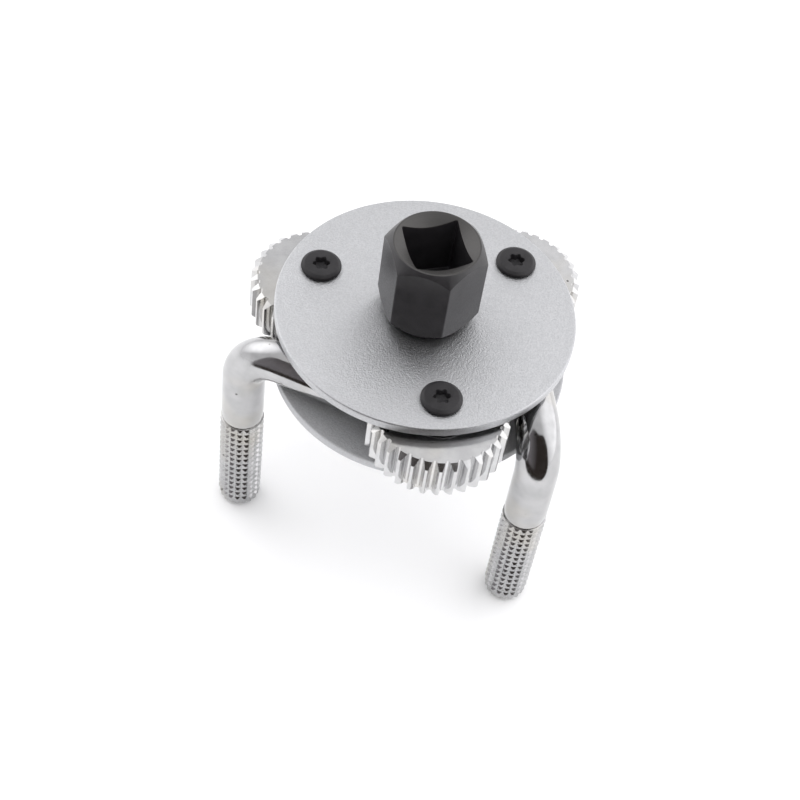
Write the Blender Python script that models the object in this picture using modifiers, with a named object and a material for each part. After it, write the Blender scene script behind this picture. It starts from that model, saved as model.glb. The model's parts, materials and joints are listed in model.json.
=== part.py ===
"""Three-jaw oil filter wrench: a sun gear on a square-drive head swings three geared legs together.

Metres, +Z up. The origin is the centre of the square socket's floor, on the drive axis.
"""

import math

import bmesh
import bpy
from mathutils import Matrix, Vector

OBJECT_NAME = "oil_filter_wrench"

# Running clearance between pieces that touch or turn on each other.
GAP = 0.0003

# Plates
PLATE_RADIUS = 0.0345
PLATE_THICKNESS = 0.0024
PLATE_SPACE = 0.013
PLATE_EDGE = 0.0004

# Gear train: the three jaw gears run round the sun gear.
CENTRE_DISTANCE = 0.0264
SUN_TEETH = 24
JAW_TEETH = 32
MODULE = 2 * CENTRE_DISTANCE / (SUN_TEETH + JAW_TEETH)
PRESSURE_ANGLE = math.radians(20)
FLANK_RELIEF = 0.0001
GEAR_THICKNESS = 0.0108
JAWS = {"front": -90.0, "right": 30.0, "left": 150.0}

# Legs, measured from the pivot of their gear
ARM_REACH = 0.0473
ARM_ANGLE = 240.0
ROD_RADIUS = 0.005
BEND_RADIUS = 0.0098
KNURL_RADIUS = 0.0052
KNURL_LENGTH = 0.032
LEG_BELOW_PLATES = 0.0481
TIP_ROUND = 0.0014
GEAR_FLAT = 0.0126
BARE_HALF_ANGLE = 31.0
SPIGOT_RADIUS = 0.003
SPIGOT_LENGTH = 0.006

# Drive head
SQUARE = 0.0128
SOCKET_DEPTH = 0.0154
SOCKET_TURN = 7.8
COUNTERSINK_RADIUS = 0.0094
COUNTERSINK_SLOPE = math.radians(30)
HEX_ACROSS_FLATS = 0.0206
HEX_HEIGHT = 0.0198
HEX_TURN = -22.5
HEX_TOP_RADIUS = 0.0097
HEX_TOP_SLOPE = math.radians(48)
HEX_BASE_RADIUS = 0.0100
HEX_BASE_CHAMFER = 0.0019
HEX_ABOVE_PLATE = 0.0016
COLLAR_RADIUS = 0.0093
NECK_RADIUS = 0.0075
STUB_SIDE = 0.0094
JOURNAL_RADIUS = 0.0046
GROOVE_RADIUS = 0.0040
RING_THICKNESS = 0.0006
RING_OUTER_RADIUS = 0.0066
JOURNAL_END = 0.0006

# Pivot posts, washers and screws
POST_RADIUS = 0.004
WASHER_THICKNESS = 0.0005
JAW_WASHER_RADIUS = 0.0075
SUN_WASHER_RADIUS = 0.0099
SCREW_RADIUS = 0.0023
SCREW_HEAD_RADIUS = 0.0047
SCREW_HEAD_HEIGHT = 0.0011
SCREW_HEAD_ROUND = 0.0005
SCREW_BITE = 0.0045
LOBE_RADIUS = 0.0019
LOBE_DEPTH = 0.0004
RECESS_DEPTH = 0.0018

# Heights, from the socket's floor down
HEAD_TOP = SOCKET_DEPTH
HEX_BASE = HEAD_TOP - HEX_HEIGHT
PLATE_TOP = HEX_BASE - HEX_ABOVE_PLATE
SPACE_TOP = PLATE_TOP - PLATE_THICKNESS
SPACE_BOTTOM = SPACE_TOP - PLATE_SPACE
PLATE_BOTTOM = SPACE_BOTTOM - PLATE_THICKNESS
MID = (SPACE_TOP + SPACE_BOTTOM) / 2
GEAR_TOP = MID + GEAR_THICKNESS / 2
GEAR_BOTTOM = MID - GEAR_THICKNESS / 2
LEG_TIP = PLATE_BOTTOM - LEG_BELOW_PLATES
KNURL_TOP = LEG_TIP + KNURL_LENGTH


def clear_scene():
    for obj in list(bpy.data.objects):
        bpy.data.objects.remove(obj, do_unlink=True)
    for collection in list(bpy.data.collections):
        bpy.data.collections.remove(collection)


def new_collection(name):
    collection = bpy.data.collections.new(name)
    bpy.context.scene.collection.children.link(collection)
    return collection


def new_material(name, colour, metallic, roughness):
    material = bpy.data.materials.new(name)
    material.use_nodes = True
    shader = material.node_tree.nodes["Principled BSDF"]
    shader.inputs["Base Color"].default_value = (*colour, 1.0)
    shader.inputs["Metallic"].default_value = metallic
    shader.inputs["Roughness"].default_value = roughness
    return material


def link_mesh(name, mesh, collection):
    obj = bpy.data.objects.new(name, mesh)
    collection.objects.link(obj)
    return obj


def as_cutter(obj):
    """Hides a helper from the render and shows it as wire."""
    obj.hide_render = True
    obj.display_type = "WIRE"
    return obj


def bake(obj):
    """Replaces the object's data with the mesh that its modifiers make."""
    bpy.context.view_layer.update()
    graph = bpy.context.evaluated_depsgraph_get()
    mesh = bpy.data.meshes.new_from_object(obj.evaluated_get(graph))
    work = bmesh.new()
    work.from_mesh(mesh)
    bmesh.ops.remove_doubles(work, verts=work.verts, dist=1e-6)
    work.to_mesh(mesh)
    work.free()
    name = obj.name
    matrix = obj.matrix_world.copy()
    collection = obj.users_collection[0]
    hidden = obj.hide_render
    bpy.data.objects.remove(obj, do_unlink=True)
    baked = link_mesh(name, mesh, collection)
    baked.matrix_world = matrix
    if hidden:
        as_cutter(baked)
    return baked


def boolean(obj, other, operation):
    modifier = obj.modifiers.new(other.name, "BOOLEAN")
    modifier.object = other
    modifier.operation = operation
    modifier.solver = "EXACT"


def cylinder(name, radius, low, high, segments, collection):
    """An upright cylinder about the Z axis, between two heights."""
    work = bmesh.new()
    middle = Matrix.Translation((0, 0, (low + high) / 2))
    bmesh.ops.create_cone(
        work,
        cap_ends=True,
        segments=segments,
        radius1=radius,
        radius2=radius,
        depth=high - low,
        matrix=middle,
    )
    mesh = bpy.data.meshes.new(name)
    work.to_mesh(mesh)
    work.free()
    return link_mesh(name, mesh, collection)


def block(name, side, low, high, turn, collection):
    """A square bar about the Z axis, between two heights, turned by an angle in degrees."""
    work = bmesh.new()
    shape = (
        Matrix.Translation((0, 0, (low + high) / 2))
        @ Matrix.Rotation(math.radians(turn), 4, "Z")
        @ Matrix.Diagonal((side, side, high - low, 1))
    )
    bmesh.ops.create_cube(work, size=1, matrix=shape)
    mesh = bpy.data.meshes.new(name)
    work.to_mesh(mesh)
    work.free()
    return link_mesh(name, mesh, collection)


def turned(name, profile, segments, collection):
    """A solid of revolution: the profile's (radius, height) points run down its outer side."""
    points = [(radius, 0.0, height) for radius, height in profile]
    edges = [(i, i + 1) for i in range(len(points) - 1)]
    if profile[0][0] > 0:
        edges.append((len(points) - 1, 0))
    mesh = bpy.data.meshes.new(name)
    mesh.from_pydata(points, edges, [])
    obj = link_mesh(name, mesh, collection)
    screw = obj.modifiers.new("turn", "SCREW")
    screw.axis = "Z"
    screw.steps = segments
    screw.render_steps = segments
    screw.use_merge_vertices = True
    screw.merge_threshold = 1e-6
    return bake(obj)


def ring(name, inner, outer, low, high, segments, collection):
    """A flat washer between two radii and two heights."""
    profile = [(inner, high), (outer, high), (outer, low), (inner, low)]
    return turned(name, profile, segments, collection)


def extruded(name, outline, low, high, collection):
    """A flat closed outline given thickness between two heights."""
    curve = bpy.data.curves.new(name, "CURVE")
    curve.dimensions = "2D"
    curve.fill_mode = "BOTH"
    curve.extrude = (high - low) / 2
    spline = curve.splines.new("POLY")
    spline.points.add(len(outline) - 1)
    for point, (x, y) in zip(spline.points, outline):
        point.co = (x, y, 0, 1)
    spline.use_cyclic_u = True
    obj = link_mesh(name, curve, collection)
    obj.location.z = (low + high) / 2
    obj = bake(obj)
    obj.data.transform(obj.matrix_world)
    obj.matrix_world = Matrix.Identity(4)
    return obj


def involute(angle):
    return math.tan(angle) - angle


def half_tooth_angle(teeth, radius):
    """Half the angle that a tooth fills at this radius, on a true involute flank."""
    pitch_radius = MODULE * teeth / 2
    base_radius = pitch_radius * math.cos(PRESSURE_ANGLE)
    flank = math.acos(min(1.0, base_radius / radius))
    thick = math.pi / (2 * teeth) + involute(PRESSURE_ANGLE) - involute(flank)
    return thick - FLANK_RELIEF / pitch_radius


def tooth_points(teeth, centre):
    """The points of one tooth's outline, counter-clockwise, about the angle of its middle."""
    pitch_radius = MODULE * teeth / 2
    radii = (pitch_radius - 1.25 * MODULE, pitch_radius, pitch_radius + MODULE)
    rising = [(r, centre - half_tooth_angle(teeth, r)) for r in radii]
    falling = [(r, centre + half_tooth_angle(teeth, r)) for r in reversed(radii)]
    return [(r * math.cos(a), r * math.sin(a)) for r, a in rising + falling]


def gear_outline(teeth, first_angle, bare_angle=None):
    """The outline of a gear. Teeth near bare_angle are left out and that side is cut flat."""
    start = first_angle if bare_angle is None else bare_angle
    bare = 0.0 if bare_angle is None else math.radians(BARE_HALF_ANGLE)
    pitch_angle = math.tau / teeth
    turns = sorted((first_angle + index * pitch_angle - start) % math.tau for index in range(teeth))
    outline = []
    for turn in turns:
        if bare <= turn <= math.tau - bare:
            outline += tooth_points(teeth, start + turn)
    if bare_angle is not None:
        root_radius = MODULE * (teeth - 2.5) / 2
        flat_half = math.acos(GEAR_FLAT / root_radius)
        for angle in (bare_angle - flat_half, bare_angle + flat_half):
            outline.append((root_radius * math.cos(angle), root_radius * math.sin(angle)))
    return outline


def arm_path():
    """Centre line of a leg: out from its gear, round the elbow and down, along local +X."""
    start = GEAR_FLAT + GAP
    points = [Vector((start, 0, MID)), Vector((ARM_REACH - BEND_RADIUS, 0, MID))]
    steps = 7
    for step in range(1, steps + 1):
        angle = math.pi / 2 * step / steps
        out = ARM_REACH - BEND_RADIUS + BEND_RADIUS * math.sin(angle)
        down = MID - BEND_RADIUS + BEND_RADIUS * math.cos(angle)
        points.append(Vector((out, 0, down)))
    points.append(Vector((ARM_REACH, 0, KNURL_TOP - 0.002)))
    return points


def rod(name, points, radius, collection):
    """A round bar along a line of points, with flat ends."""
    curve = bpy.data.curves.new(name, "CURVE")
    curve.dimensions = "3D"
    curve.bevel_depth = radius
    curve.bevel_resolution = 7
    curve.use_fill_caps = True
    spline = curve.splines.new("POLY")
    spline.points.add(len(points) - 1)
    for point, place in zip(spline.points, points):
        point.co = (*place, 1)
    return bake(link_mesh(name, curve, collection))


def make_plate(name, top, hole_radius, cutters, parts):
    low = top - PLATE_THICKNESS
    profile = [
        (hole_radius, top),
        (PLATE_RADIUS - PLATE_EDGE, top),
        (PLATE_RADIUS, top - PLATE_EDGE),
        (PLATE_RADIUS, low + PLATE_EDGE),
        (PLATE_RADIUS - PLATE_EDGE, low),
        (hole_radius, low),
    ]
    plate = turned(name, profile, 72, parts)
    hole = SCREW_RADIUS + GAP
    for side, angle in JAWS.items():
        cutter = cylinder(f"{name}_hole_{side}", hole, low - GAP, top + GAP, 16, cutters)
        cutter.location = pivot(angle)
        boolean(plate, as_cutter(cutter), "DIFFERENCE")
    return plate


def pivot(angle):
    turn = math.radians(angle)
    return Vector((CENTRE_DISTANCE * math.cos(turn), CENTRE_DISTANCE * math.sin(turn), 0))


def make_drive_head(cutters, parts):
    """Hexagon with turned chamfers, collar, neck, square stub and journal, all in one forging."""
    corner = HEX_ACROSS_FLATS / 2 / math.cos(math.pi / 6)
    head = cylinder("drive_head", corner, HEX_BASE, HEAD_TOP, 6, parts)
    # create_cone's first corner lies on +Y.
    head.data.transform(Matrix.Rotation(math.radians(HEX_TURN - 90), 4, "Z"))
    outside = corner + GAP
    top_drop = (outside - HEX_TOP_RADIUS) * math.tan(HEX_TOP_SLOPE)
    envelope = [
        (0, HEAD_TOP + GAP),
        (HEX_TOP_RADIUS - GAP / math.tan(HEX_TOP_SLOPE), HEAD_TOP + GAP),
        (outside, HEAD_TOP - top_drop),
        (outside, HEX_BASE + HEX_BASE_CHAMFER),
        (HEX_BASE_RADIUS - GAP, HEX_BASE - GAP),
        (0, HEX_BASE - GAP),
    ]
    chamfers = as_cutter(turned("head_chamfers", envelope, 48, cutters))
    boolean(head, chamfers, "INTERSECT")

    stub_top = GEAR_TOP + GAP
    stub_bottom = GEAR_BOTTOM - GAP
    groove_top = PLATE_BOTTOM - GAP / 2
    groove_bottom = PLATE_BOTTOM - 2 * GAP - RING_THICKNESS - GAP / 2
    stem_profile = [
        (0, HEX_BASE + 0.001),
        (COLLAR_RADIUS, HEX_BASE + 0.001),
        (COLLAR_RADIUS, PLATE_TOP + GAP),
        (NECK_RADIUS, PLATE_TOP + GAP),
        (NECK_RADIUS, stub_top),
        (JOURNAL_RADIUS, stub_top),
        (JOURNAL_RADIUS, groove_top),
        (GROOVE_RADIUS, groove_top),
        (GROOVE_RADIUS, groove_bottom),
        (JOURNAL_RADIUS, groove_bottom),
        (JOURNAL_RADIUS, groove_bottom - JOURNAL_END),
        (0, groove_bottom - JOURNAL_END),
    ]
    stem = as_cutter(turned("head_stem", stem_profile, 32, cutters))
    boolean(head, stem, "UNION")
    stub = block("head_stub", STUB_SIDE, stub_bottom, stub_top + GAP, SOCKET_TURN, cutters)
    boolean(head, as_cutter(stub), "UNION")

    slope = math.tan(COUNTERSINK_SLOPE)
    mouth = [
        (0, HEAD_TOP + GAP),
        (COUNTERSINK_RADIUS + GAP / slope, HEAD_TOP + GAP),
        (0, HEAD_TOP - COUNTERSINK_RADIUS * slope),
    ]
    countersink = as_cutter(turned("head_countersink", mouth, 48, cutters))
    boolean(head, countersink, "DIFFERENCE")
    socket = block("head_socket", SQUARE, 0, HEAD_TOP + GAP, SOCKET_TURN, cutters)
    boolean(head, as_cutter(socket), "DIFFERENCE")
    return head


def make_sun_gear(cutters, parts):
    outline = gear_outline(SUN_TEETH, math.radians(JAWS["front"]))
    gear = extruded("sun_gear", outline, GEAR_BOTTOM, GEAR_TOP, parts)
    side = STUB_SIDE + 2 * GAP
    bore = block("sun_bore", side, GEAR_BOTTOM - GAP, GEAR_TOP + GAP, SOCKET_TURN, cutters)
    boolean(gear, as_cutter(bore), "DIFFERENCE")
    return gear


def jaw_gear_mesh(cutters, parts):
    """A jaw gear about its own pivot, with the sun gear on its local -X side."""
    arm = math.radians(ARM_ANGLE)
    first = math.pi / JAW_TEETH
    outline = gear_outline(JAW_TEETH, first, arm)
    gear = extruded("jaw_gear", outline, GEAR_BOTTOM, GEAR_TOP, parts)
    radius = POST_RADIUS + GAP
    bore = cylinder("jaw_bore", radius, GEAR_BOTTOM - GAP, GEAR_TOP + GAP, 24, cutters)
    boolean(gear, as_cutter(bore), "DIFFERENCE")
    deep = GEAR_FLAT - SPIGOT_LENGTH
    socket = cylinder("arm_socket", SPIGOT_RADIUS + GAP, deep, GEAR_FLAT + GAP, 16, cutters)
    lay_down = Matrix.Rotation(arm, 4, "Z") @ Matrix.Rotation(math.pi / 2, 4, "Y")
    socket.data.transform(Matrix.Translation((0, 0, MID)) @ lay_down)
    boolean(gear, as_cutter(socket), "DIFFERENCE")
    gear = bake(gear)
    mesh = gear.data
    bpy.data.objects.remove(gear, do_unlink=True)
    return mesh


def jaw_arm_mesh(cutters, parts):
    """A leg about its gear's pivot: spigot, rod, elbow and a thicker knurled end."""
    arm = rod("jaw_arm", arm_path(), ROD_RADIUS, parts)
    spigot_end = GEAR_FLAT - SPIGOT_LENGTH + GAP
    spigot = cylinder("arm_spigot", SPIGOT_RADIUS, spigot_end, GEAR_FLAT + 0.002, 16, cutters)
    lay_down = Matrix.Rotation(math.pi / 2, 4, "Y")
    spigot.data.transform(Matrix.Translation((0, 0, MID)) @ lay_down)
    boolean(arm, as_cutter(spigot), "UNION")
    profile = [(0, KNURL_TOP), (KNURL_RADIUS, KNURL_TOP)]
    steps = 3
    for step in range(steps + 1):
        angle = math.pi / 2 * step / steps
        radius = KNURL_RADIUS - TIP_ROUND + TIP_ROUND * math.cos(angle)
        profile.append((radius, LEG_TIP + TIP_ROUND - TIP_ROUND * math.sin(angle)))
    profile.append((0, LEG_TIP))
    knurled_end = turned("leg_end", profile, 24, cutters)
    knurled_end.location.x = ARM_REACH
    boolean(arm, as_cutter(knurled_end), "UNION")
    arm = bake(arm)
    mesh = arm.data
    mesh.transform(Matrix.Rotation(math.radians(ARM_ANGLE), 4, "Z"))
    bpy.data.objects.remove(arm, do_unlink=True)
    return mesh


def post_mesh(cutters, parts):
    """A shoulder post with a screw hole in each end."""
    low = SPACE_BOTTOM + GAP
    high = SPACE_TOP - GAP
    post = cylinder("pivot_post", POST_RADIUS, low, high, 20, parts)
    hole = SCREW_RADIUS + GAP
    depth = SCREW_BITE + GAP
    for end, bottom, top in (("top", high - depth, high + GAP), ("bottom", low - GAP, low + depth)):
        cutter = cylinder(f"post_hole_{end}", hole, bottom, top, 16, cutters)
        boolean(post, as_cutter(cutter), "DIFFERENCE")
    post = bake(post)
    mesh = post.data
    bpy.data.objects.remove(post, do_unlink=True)
    return mesh


def screw_mesh(cutters, parts):
    """A low-head six-lobe screw standing on z = 0, with its shank below."""
    length = GAP + PLATE_THICKNESS + GAP + SCREW_BITE
    profile = [(0, SCREW_HEAD_HEIGHT)]
    steps = 2
    for step in range(steps + 1):
        angle = math.pi / 2 * step / steps
        radius = SCREW_HEAD_RADIUS - SCREW_HEAD_ROUND + SCREW_HEAD_ROUND * math.sin(angle)
        height = SCREW_HEAD_HEIGHT - SCREW_HEAD_ROUND + SCREW_HEAD_ROUND * math.cos(angle)
        profile.append((radius, height))
    profile += [(SCREW_HEAD_RADIUS, 0), (SCREW_RADIUS, 0), (SCREW_RADIUS, -length), (0, -length)]
    screw = turned("screw", profile, 24, parts)
    lobes = []
    for step in range(24):
        angle = math.tau * step / 24
        radius = LOBE_RADIUS + LOBE_DEPTH * (math.cos(6 * angle) - 1) / 2
        lobes.append((radius * math.cos(angle), radius * math.sin(angle)))
    low = SCREW_HEAD_HEIGHT - RECESS_DEPTH
    recess = extruded("screw_recess", lobes, low, SCREW_HEAD_HEIGHT + GAP, cutters)
    boolean(screw, as_cutter(recess), "DIFFERENCE")
    screw = bake(screw)
    mesh = screw.data
    bpy.data.objects.remove(screw, do_unlink=True)
    return mesh


def shade(obj, material):
    obj.data.materials.clear()
    obj.data.materials.append(material)
    obj.data.shade_smooth()
    obj.data.set_sharp_from_angle(angle=math.radians(35))


def pivot_empty(name, angle, collection):
    """An empty on a jaw's pivot, turned so that its +X points away from the drive axis."""
    empty = bpy.data.objects.new(name, None)
    empty.empty_display_size = 0.01
    empty.location = pivot(angle)
    empty.rotation_euler.z = math.radians(angle)
    collection.objects.link(empty)
    return empty


def main():
    clear_scene()
    parts = new_collection(OBJECT_NAME)
    cutters = new_collection("cutters")
    plated = new_material("plated_steel", (0.62, 0.63, 0.65), 1.0, 0.38)
    chromed = new_material("chromed_steel", (0.78, 0.78, 0.79), 1.0, 0.12)
    black = new_material("black_oxide", (0.03, 0.03, 0.033), 0.6, 0.45)
    steel = new_material("plain_steel", (0.5, 0.5, 0.51), 1.0, 0.3)

    top_plate = make_plate("top_plate", PLATE_TOP, NECK_RADIUS + GAP, cutters, parts)
    bottom_plate = make_plate("bottom_plate", SPACE_BOTTOM, JOURNAL_RADIUS + GAP, cutters, parts)
    shade(top_plate, plated)
    shade(bottom_plate, plated)
    shade(make_drive_head(cutters, parts), black)
    shade(make_sun_gear(cutters, parts), steel)

    high = SPACE_TOP - GAP
    low = SPACE_BOTTOM + GAP
    upper_bore = NECK_RADIUS + GAP
    lower_bore = JOURNAL_RADIUS + GAP
    outer = SUN_WASHER_RADIUS
    upper = ring("upper_sun_washer", upper_bore, outer, high - WASHER_THICKNESS, high, 32, parts)
    lower = ring("lower_sun_washer", lower_bore, outer, low, low + WASHER_THICKNESS, 32, parts)
    ring_top = PLATE_BOTTOM - GAP
    ring_bore = GROOVE_RADIUS + GAP
    snap = ring(
        "retaining_ring", ring_bore, RING_OUTER_RADIUS, ring_top - RING_THICKNESS, ring_top, 24, parts
    )
    for piece in (upper, lower, snap):
        shade(piece, steel)

    gear_data = jaw_gear_mesh(cutters, parts)
    arm_data = jaw_arm_mesh(cutters, parts)
    post_data = post_mesh(cutters, parts)
    screw_data = screw_mesh(cutters, parts)
    bore = POST_RADIUS + GAP
    outer = JAW_WASHER_RADIUS
    washer = ring("washer", bore, outer, -WASHER_THICKNESS / 2, WASHER_THICKNESS / 2, 24, parts)
    washer_data = washer.data
    bpy.data.objects.remove(washer, do_unlink=True)

    washer_shift = (PLATE_SPACE - WASHER_THICKNESS) / 2 - GAP
    repeated = [
        ("jaw_gear", gear_data, 0, chromed),
        ("jaw_arm", arm_data, 0, chromed),
        ("pivot_post", post_data, 0, steel),
        ("upper_washer", washer_data, MID + washer_shift, steel),
        ("lower_washer", washer_data, MID - washer_shift, steel),
        ("top_screw", screw_data, PLATE_TOP + GAP, black),
        ("bottom_screw", screw_data, PLATE_BOTTOM - GAP, black),
    ]
    for side, angle in JAWS.items():
        empty = pivot_empty(f"pivot_{side}", angle, parts)
        for name, mesh, height, material in repeated:
            piece = link_mesh(f"{name}_{side}", mesh, parts)
            piece.parent = empty
            piece.location.z = height
            if name == "bottom_screw":
                piece.rotation_euler.x = math.pi
            shade(piece, material)


main()
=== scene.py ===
"""Looks of the three-jaw oil filter wrench: detailed pieces, materials, studio and camera.

Metres, +Z up, in the frame's own axes. The pieces take their heights and places from the frame, and their
other sizes from the values named below.
"""

import json
import math

import bmesh
import bpy
from mathutils import Matrix, Vector


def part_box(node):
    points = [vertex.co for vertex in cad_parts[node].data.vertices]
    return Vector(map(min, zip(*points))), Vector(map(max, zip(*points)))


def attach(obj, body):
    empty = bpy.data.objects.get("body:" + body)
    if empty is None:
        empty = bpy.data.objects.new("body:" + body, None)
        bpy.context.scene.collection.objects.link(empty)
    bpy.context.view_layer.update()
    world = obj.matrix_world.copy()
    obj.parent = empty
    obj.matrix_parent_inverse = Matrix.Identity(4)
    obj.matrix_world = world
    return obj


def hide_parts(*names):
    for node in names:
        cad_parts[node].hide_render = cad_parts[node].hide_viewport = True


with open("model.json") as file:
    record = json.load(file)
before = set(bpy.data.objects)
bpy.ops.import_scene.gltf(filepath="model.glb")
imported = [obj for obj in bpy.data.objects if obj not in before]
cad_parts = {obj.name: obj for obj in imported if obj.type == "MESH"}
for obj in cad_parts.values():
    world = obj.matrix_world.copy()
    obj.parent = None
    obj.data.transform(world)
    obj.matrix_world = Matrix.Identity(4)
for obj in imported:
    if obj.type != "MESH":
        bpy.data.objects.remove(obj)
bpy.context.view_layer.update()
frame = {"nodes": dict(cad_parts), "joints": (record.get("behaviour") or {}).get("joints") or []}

MM = 0.001
GAP = 0.3 * MM
ON_AXIS = 1e-7

# Points round the turned pieces
HEAD_SEGMENTS = 150
SCREW_SEGMENTS = 96
PLATE_SEGMENTS = 240

# Gear train
SUN_TEETH = 24
JAW_TEETH = 32
PRESSURE_ANGLE = math.radians(20)
FLANK_RELIEF = 0.05 * MM
TOOTH_CHAMFER = 1.57 * MM
TOOTH_CHAMFER_SLOPE = math.radians(36)
TOOTH_STEPS = 3
ROOT_FILLET = 0.28 * MM
FILLET_FLARE = 0.02 * MM
GEAR_FLAT = 12.6 * MM
FLAT_STEPS = 8
BARE_HALF_ANGLE = math.radians(31)
BARE_STEPS = 4
JAW_BORE = 4.3 * MM
BORE_EDGE = 0.3 * MM

# Legs
ARM_ANGLE = math.radians(240)
ARM_REACH = 47.3 * MM
ROD_RADIUS = 5.0 * MM
ROD_CHAMFER = 0.4 * MM
BEND_RADIUS = 9.8 * MM
BEND_STEPS = 22
SPIGOT_RADIUS = 3.0 * MM
SPIGOT_LENGTH = 5.7 * MM
ROLLED_GROOVE = 0.12 * MM
GROOVE_START = 0.9 * MM
GROOVE_FLOOR = (0.45 * MM, 0.15 * MM)
KNURL_RADIUS = 5.2 * MM
KNURL_LENGTH = 32.0 * MM
KNURL_LEAD = 0.2 * MM
KNURL_COLUMNS = 18
KNURL_ROWS = 16
KNURL_DEPTH = 0.42 * MM
KNURL_GROOVE = 0.085
KNURL_FLAT = 0.12
KNURL_EDGE = 0.08 * MM
TIP_ROUND = 2.2 * MM
TIP_ARC = math.radians(82)

# Plates
PLATE_RADIUS = 34.5 * MM
PLATE_THICKNESS = 2.4 * MM
PLATE_EDGE = 0.42 * MM
HOLE_EDGE = 0.15 * MM
NECK_HOLE = 7.8 * MM
JOURNAL_HOLE = 4.9 * MM
SCREW_HOLE = 2.6 * MM

# Drive head
SQUARE = 12.8 * MM
SQUARE_CORNER = 0.5 * MM
SOCKET_TURN = math.radians(7.8)
COUNTERSINK_RADIUS = 9.4 * MM
COUNTERSINK_SLOPE = math.radians(30)
HEX_ACROSS_FLATS = 20.6 * MM
HEX_CORNER = 0.45 * MM
HEX_HEIGHT = 19.8 * MM
HEX_TURN = math.radians(-22.5)
HEX_TOP_RADIUS = 9.7 * MM
HEX_TOP_SLOPE = math.radians(48)
HEX_BASE_RADIUS = 10.0 * MM
HEX_BASE_CHAMFER = 1.9 * MM
COLLAR_RADIUS = 9.3 * MM
NECK_RADIUS = 7.5 * MM
STUB_SIDE = 9.4 * MM
STUB_CORNER = 0.4 * MM
JOURNAL_RADIUS = 4.6 * MM
RING_GROOVE_RADIUS = 4.0 * MM
RING_THICKNESS = 0.6 * MM
EDGE_ROUND = 0.35 * MM

# Screws
SCREW_RADIUS = 2.3 * MM
SCREW_REACH = 5.1 * MM
SCREW_HEAD_RADIUS = 4.7 * MM
SCREW_HEAD_HEIGHT = 1.1 * MM
SCREW_CROWN = 0.85 * MM
SCREW_RIM = 0.55 * MM
LOBE_RADIUS = 2.0 * MM
LOBE_DEPTH = 0.5 * MM
LOBE_BEVEL = 0.14 * MM
RECESS_DEPTH = 1.4 * MM
RECESS_DISH = 0.25 * MM
RECESS_TAPER = 0.86

# Camera, at the photograph's viewing angle
CAMERA_PLACE = Vector((-0.06098, -0.23646, 0.26648))
CAMERA_HEADING = math.radians(-13.87)
CAMERA_DOWN = math.radians(51.51)
CAMERA_ROLL = math.radians(9.32)
CAMERA_LENS = 72.38
SENSOR_WIDTH = 36
CLIP_START = 0.01

# Studio
FLOOR_HALF = 3.0
FLOOR_CLEARANCE = 0.2 * MM
BANK_PLACE = Vector((0, 0.05, 1.0))
BANK_SIDE = 1.8
BANK_POWER = 5.4

# The dark flag on the camera's side that bright metal mirrors: azimuth and elevation of its middle, and half
# of its width and height as angles
FLAG_MIDDLE = (math.radians(-109), math.radians(20))
FLAG_HALF = (math.radians(55), math.radians(40))
FLAG_DISTANCE = 0.9
FLAG_CLEARANCE = 2 * MM
FLAG_RINGS = 12
FLAG_SPOKES = 48

# The tent round it all, and the heights between which its brighter horizon fades
TENT = (0.81, 0.807, 0.817)
HORIZON_BAND = (0.04, 0.34)
HORIZON_GLOW = 0.4

# The tent's brighter parts: azimuth, elevation, how far from there the glow is full and where it ends, and
# the strength that it adds
GLOWS = (
    (math.radians(132), math.radians(36), math.radians(14), math.radians(36), 1.5),
    (math.radians(6), math.radians(30), math.radians(26), math.radians(58), 1.1),
)

# The range that most of a noise texture's values lie in, and base colours: pairs are the ends of a blend
NOISE_RANGE = (0.3, 0.7)
PLATE_GREYS = ((0.485, 0.49, 0.502), (0.585, 0.59, 0.602))
OXIDE_BLACKS = ((0.013, 0.012, 0.0135), (0.023, 0.0215, 0.0235))
MACHINED_GREY = (0.078, 0.075, 0.072)
PIT_BROWN = (0.09, 0.085, 0.08)
STEEL_GREYS = ((0.42, 0.42, 0.43), (0.55, 0.55, 0.56))
FLOOR_WHITES = ((0.955, 0.955, 0.955), (0.965, 0.965, 0.965))
CLOTH_GREYS = ((0.16, 0.15, 0.155), (0.03, 0.024, 0.021))

# The Mix node's colour sockets, which share their names with its sockets for other kinds of value
MIX_BASE = 6
MIX_OTHER = 7
MIX_RESULT = 2


def joint_place(name):
    for joint in frame["joints"]:
        if joint["name"] == name:
            return Vector(joint["pos_m"])
    raise KeyError(name)


SIDES = ("front", "right", "left")
PIVOTS = {side: joint_place(f"{side}_jaw_swing") for side in SIDES}
CENTRE_DISTANCE = PIVOTS["front"].xy.length
MODULE = 2 * CENTRE_DISTANCE / (SUN_TEETH + JAW_TEETH)
MID = PIVOTS["front"].z
GEAR_ROOT = MODULE * (JAW_TEETH - 2.5) / 2
GEAR_OUTER = MODULE * (JAW_TEETH + 2) / 2
GEAR_BASE = MODULE * JAW_TEETH / 2 * math.cos(PRESSURE_ANGLE)
CHAMFER_START = GEAR_OUTER - TOOTH_CHAMFER

GEAR_BOTTOM, GEAR_TOP = (corner.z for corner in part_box("jaw_gear_front"))
HEAD_BOTTOM, HEAD_TOP = (corner.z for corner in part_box("drive_head"))
TOP_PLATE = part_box("top_plate")
BOTTOM_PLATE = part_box("bottom_plate")
LEG_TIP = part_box("jaw_arm_front")[0].z
KNURL_TOP = LEG_TIP + KNURL_LENGTH


# ---------------------------------------------------------------- mesh helpers


def new_object(name, work, smooth_angle=None):
    """A mesh object from a bmesh. Edges sharper than smooth_angle stay sharp."""
    bmesh.ops.recalc_face_normals(work, faces=work.faces)
    mesh = bpy.data.meshes.new(name)
    work.to_mesh(mesh)
    work.free()
    obj = bpy.data.objects.new(name, mesh)
    bpy.context.scene.collection.objects.link(obj)
    if smooth_angle is not None:
        shade_smooth(mesh, smooth_angle)
    return obj


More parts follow.
